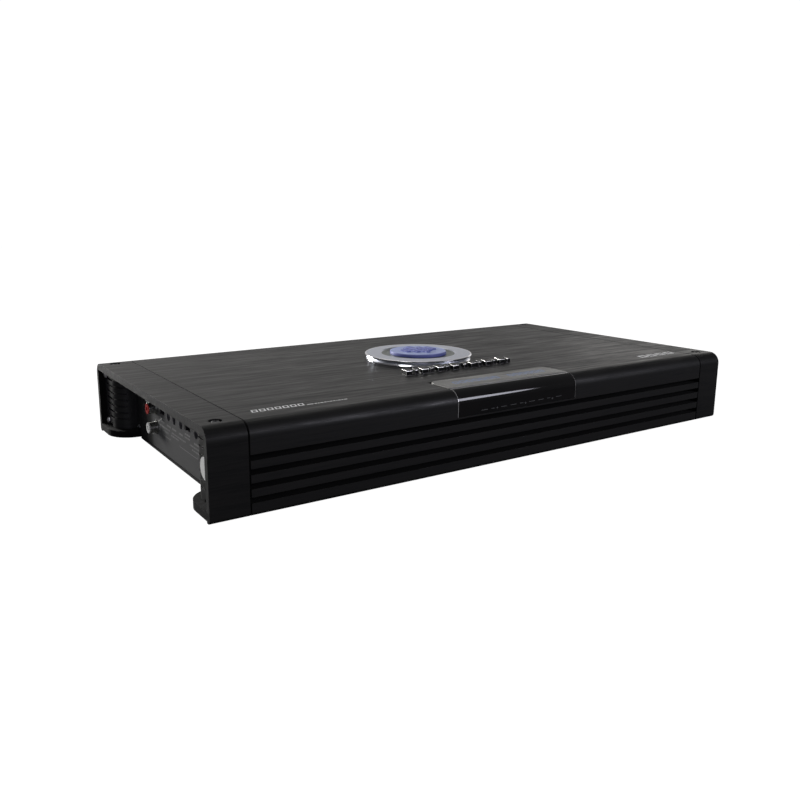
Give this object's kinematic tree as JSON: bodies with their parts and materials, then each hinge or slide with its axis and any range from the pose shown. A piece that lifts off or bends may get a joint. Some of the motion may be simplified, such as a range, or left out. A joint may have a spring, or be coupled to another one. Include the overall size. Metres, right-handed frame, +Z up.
{
  "type": "car amplifier",
  "caption": "Car audio amplifier: black finned aluminium body with overhanging end caps, mounting feet, round emblem, control panel and screw terminals.",
  "frame": {"origin": "on the surface the amplifier stands on, under the middle of its body", "axes": "+X along the length from the control panel to the power panel, +Y across the width away from the badge, +Z up"},
  "size_m": [0.471, 0.246, 0.0644],
  "materials": {
    "black_aluminium": "black anodised, brushed along the length",
    "black_cast": "fine satin black powder coat",
    "black_sheet": "semi-matt black powder coat",
    "grey_panel": "satin dark grey with white printed marks",
    "screw_steel": "zinc plated",
    "screw_black": "black oxide, oiled",
    "satin_badge": "satin silver, printed with a blue pattern",
    "gloss_black": "high gloss black",
    "emblem_chrome": "polished edge, satin ring",
    "emblem_blue": "semi-gloss periwinkle blue",
    "black_chrome": "black chrome with bright edges",
    "white_label": "blank vinyl label",
    "board_laminate": "green solder mask",
    "contact_brass": "tinned brass",
    "black_plastic": "moulded, fine texture",
    "jack_nickel": "nickel plated",
    "jack_red": "semi-gloss",
    "jack_white": "semi-gloss",
    "green_lens": "tinted lens, not lit",
    "copper_winding": "enamelled copper wire",
    "capacitor_sleeve": "shrink sleeve",
    "fuse_blue": "translucent blue body with tinned blades"
  },
  "bodies": {
    "root": {"heatsink": "black_aluminium", "left_end_cap": "black_aluminium", "right_end_cap": "black_aluminium", "corner_blocks": "black_cast", "bottom_cover": "black_sheet", "control_panel": "grey_panel", "power_panel": "grey_panel", "corner_screws": "screw_black", "cap_screws": "screw_steel", "cover_screws": "screw_black", "panel_screws": "screw_black", "badge_top": "satin_badge", "badge_front": "gloss_black", "emblem_base": "emblem_chrome", "emblem_disc": "emblem_blue", "emblem_bars": "emblem_blue", "trim_blocks": "black_chrome", "inspection_sticker": "white_label", "circuit_board": "board_laminate", "board_standoffs": "contact_brass", "preamp_board": "board_laminate", "rca_block": "black_plastic", "rca_shells": "jack_nickel", "rca_insert_red": "jack_red", "rca_insert_white": "jack_white", "control_bodies": "black_plastic", "switch_bodies": "screw_steel", "remote_jack": "black_plastic", "status_leds": "green_lens", "power_transformer": "copper_winding", "filter_capacitors": "capacitor_sleeve", "power_transistors": "black_plastic", "transistor_clamps": "screw_steel", "output_inductors": "copper_winding", "power_strip": "black_plastic", "speaker_strip": "black_plastic", "terminal_contacts": "contact_brass", "fuse_holder": "black_plastic"},
    "control_1": {"control_1": "black_plastic"},
    "control_2": {"control_2": "black_plastic"},
    "control_3": {"control_3": "black_plastic"},
    "control_4": {"control_4": "black_plastic"},
    "switch_lever_1": {"switch_lever_1": "black_plastic"},
    "switch_lever_2": {"switch_lever_2": "black_plastic"},
    "fuse_1": {"fuse_1": "fuse_blue"},
    "fuse_2": {"fuse_2": "fuse_blue"},
    "power_clamp_1": {"power_clamp_1": "screw_steel"},
    "power_screw_1": {"power_screw_1": "screw_steel"},
    "power_clamp_2": {"power_clamp_2": "screw_steel"},
    "power_screw_2": {"power_screw_2": "screw_steel"},
    "power_clamp_3": {"power_clamp_3": "screw_steel"},
    "power_screw_3": {"power_screw_3": "screw_steel"},
    "speaker_clamp_1": {"speaker_clamp_1": "screw_steel"},
    "speaker_screw_1": {"speaker_screw_1": "screw_steel"},
    "speaker_clamp_2": {"speaker_clamp_2": "screw_steel"},
    "speaker_screw_2": {"speaker_screw_2": "screw_steel"},
    "speaker_clamp_3": {"speaker_clamp_3": "screw_steel"},
    "speaker_screw_3": {"speaker_screw_3": "screw_steel"},
    "speaker_clamp_4": {"speaker_clamp_4": "screw_steel"},
    "speaker_screw_4": {"speaker_screw_4": "screw_steel"}
  },
  "joints": [
    {"name": "control_1_turn", "type": "hinge", "parent": "root", "child": "control_1", "pos_m": [-0.2145, 0.0072, 0.0332], "axis": [1, 0, 0], "range_deg": [-140, 140]},
    {"name": "control_2_turn", "type": "hinge", "parent": "root", "child": "control_2", "pos_m": [-0.2145, -0.0049, 0.0332], "axis": [1, 0, 0], "range_deg": [-140, 140]},
    {"name": "control_3_turn", "type": "hinge", "parent": "root", "child": "control_3", "pos_m": [-0.2145, -0.019, 0.0332], "axis": [1, 0, 0], "range_deg": [-140, 140]},
    {"name": "control_4_turn", "type": "hinge", "parent": "root", "child": "control_4", "pos_m": [-0.2145, -0.0486, 0.0332], "axis": [1, 0, 0], "range_deg": [-140, 140]},
    {"name": "switch_1_slide", "type": "slide", "parent": "root", "child": "switch_lever_1", "axis": [0, 1, 0], "range_m": [-0.0025, 0.0025]},
    {"name": "switch_2_slide", "type": "slide", "parent": "root", "child": "switch_lever_2", "axis": [0, 1, 0], "range_m": [-0.0025, 0.0025]},
    {"name": "fuse_1_pull", "type": "slide", "parent": "root", "child": "fuse_1", "axis": [1, 0, 0], "range_m": [0, 0.008]},
    {"name": "fuse_2_pull", "type": "slide", "parent": "root", "child": "fuse_2", "axis": [1, 0, 0], "range_m": [0, 0.008]},
    {"name": "power_clamp_1_slide", "type": "slide", "parent": "root", "child": "power_clamp_1", "axis": [1, 0, 0], "range_m": [0, 0.003]},
    {"name": "power_screw_1_turn", "type": "hinge", "parent": "power_clamp_1", "child": "power_screw_1", "pos_m": [0.2225, 0.025, 0.024], "axis": [1, 0, 0], "range_deg": [0, 1544]},
    {"name": "power_clamp_2_slide", "type": "slide", "parent": "root", "child": "power_clamp_2", "axis": [1, 0, 0], "range_m": [0, 0.003]},
    {"name": "power_screw_2_turn", "type": "hinge", "parent": "power_clamp_2", "child": "power_screw_2", "pos_m": [0.2225, 0.042, 0.024], "axis": [1, 0, 0], "range_deg": [0, 1544]},
    {"name": "power_clamp_3_slide", "type": "slide", "parent": "root", "child": "power_clamp_3", "axis": [1, 0, 0], "range_m": [0, 0.003]},
    {"name": "power_screw_3_turn", "type": "hinge", "parent": "power_clamp_3", "child": "power_screw_3", "pos_m": [0.2225, 0.059, 0.024], "axis": [1, 0, 0], "range_deg": [0, 1544]},
    {"name": "speaker_clamp_1_slide", "type": "slide", "parent": "root", "child": "speaker_clamp_1", "axis": [1, 0, 0], "range_m": [0, 0.003]},
    {"name": "speaker_screw_1_turn", "type": "hinge", "parent": "speaker_clamp_1", "child": "speaker_screw_1", "pos_m": [0.2225, -0.061, 0.024], "axis": [1, 0, 0], "range_deg": [0, 2162]},
    {"name": "speaker_clamp_2_slide", "type": "slide", "parent": "root", "child": "speaker_clamp_2", "axis": [1, 0, 0], "range_m": [0, 0.003]},
    {"name": "speaker_screw_2_turn", "type": "hinge", "parent": "speaker_clamp_2", "child": "speaker_screw_2", "pos_m": [0.2225, -0.049, 0.024], "axis": [1, 0, 0], "range_deg": [0, 2162]},
    {"name": "speaker_clamp_3_slide", "type": "slide", "parent": "root", "child": "speaker_clamp_3", "axis": [1, 0, 0], "range_m": [0, 0.003]},
    {"name": "speaker_screw_3_turn", "type": "hinge", "parent": "speaker_clamp_3", "child": "speaker_screw_3", "pos_m": [0.2225, -0.037, 0.024], "axis": [1, 0, 0], "range_deg": [0, 2162]},
    {"name": "speaker_clamp_4_slide", "type": "slide", "parent": "root", "child": "speaker_clamp_4", "axis": [1, 0, 0], "range_m": [0, 0.003]},
    {"name": "speaker_screw_4_turn", "type": "hinge", "parent": "speaker_clamp_4", "child": "speaker_screw_4", "pos_m": [0.2225, -0.025, 0.024], "axis": [1, 0, 0], "range_deg": [0, 2162]}
  ],
  "couplings": [
    {"joint": "power_screw_1_turn", "follows": "power_clamp_1_slide", "rad_per_m": 8976},
    {"joint": "power_screw_2_turn", "follows": "power_clamp_2_slide", "rad_per_m": 8976},
    {"joint": "power_screw_3_turn", "follows": "power_clamp_3_slide", "rad_per_m": 8976},
    {"joint": "speaker_screw_1_turn", "follows": "speaker_clamp_1_slide", "rad_per_m": 12566},
    {"joint": "speaker_screw_2_turn", "follows": "speaker_clamp_2_slide", "rad_per_m": 12566},
    {"joint": "speaker_screw_3_turn", "follows": "speaker_clamp_3_slide", "rad_per_m": 12566},
    {"joint": "speaker_screw_4_turn", "follows": "speaker_clamp_4_slide", "rad_per_m": 12566}
  ]
}
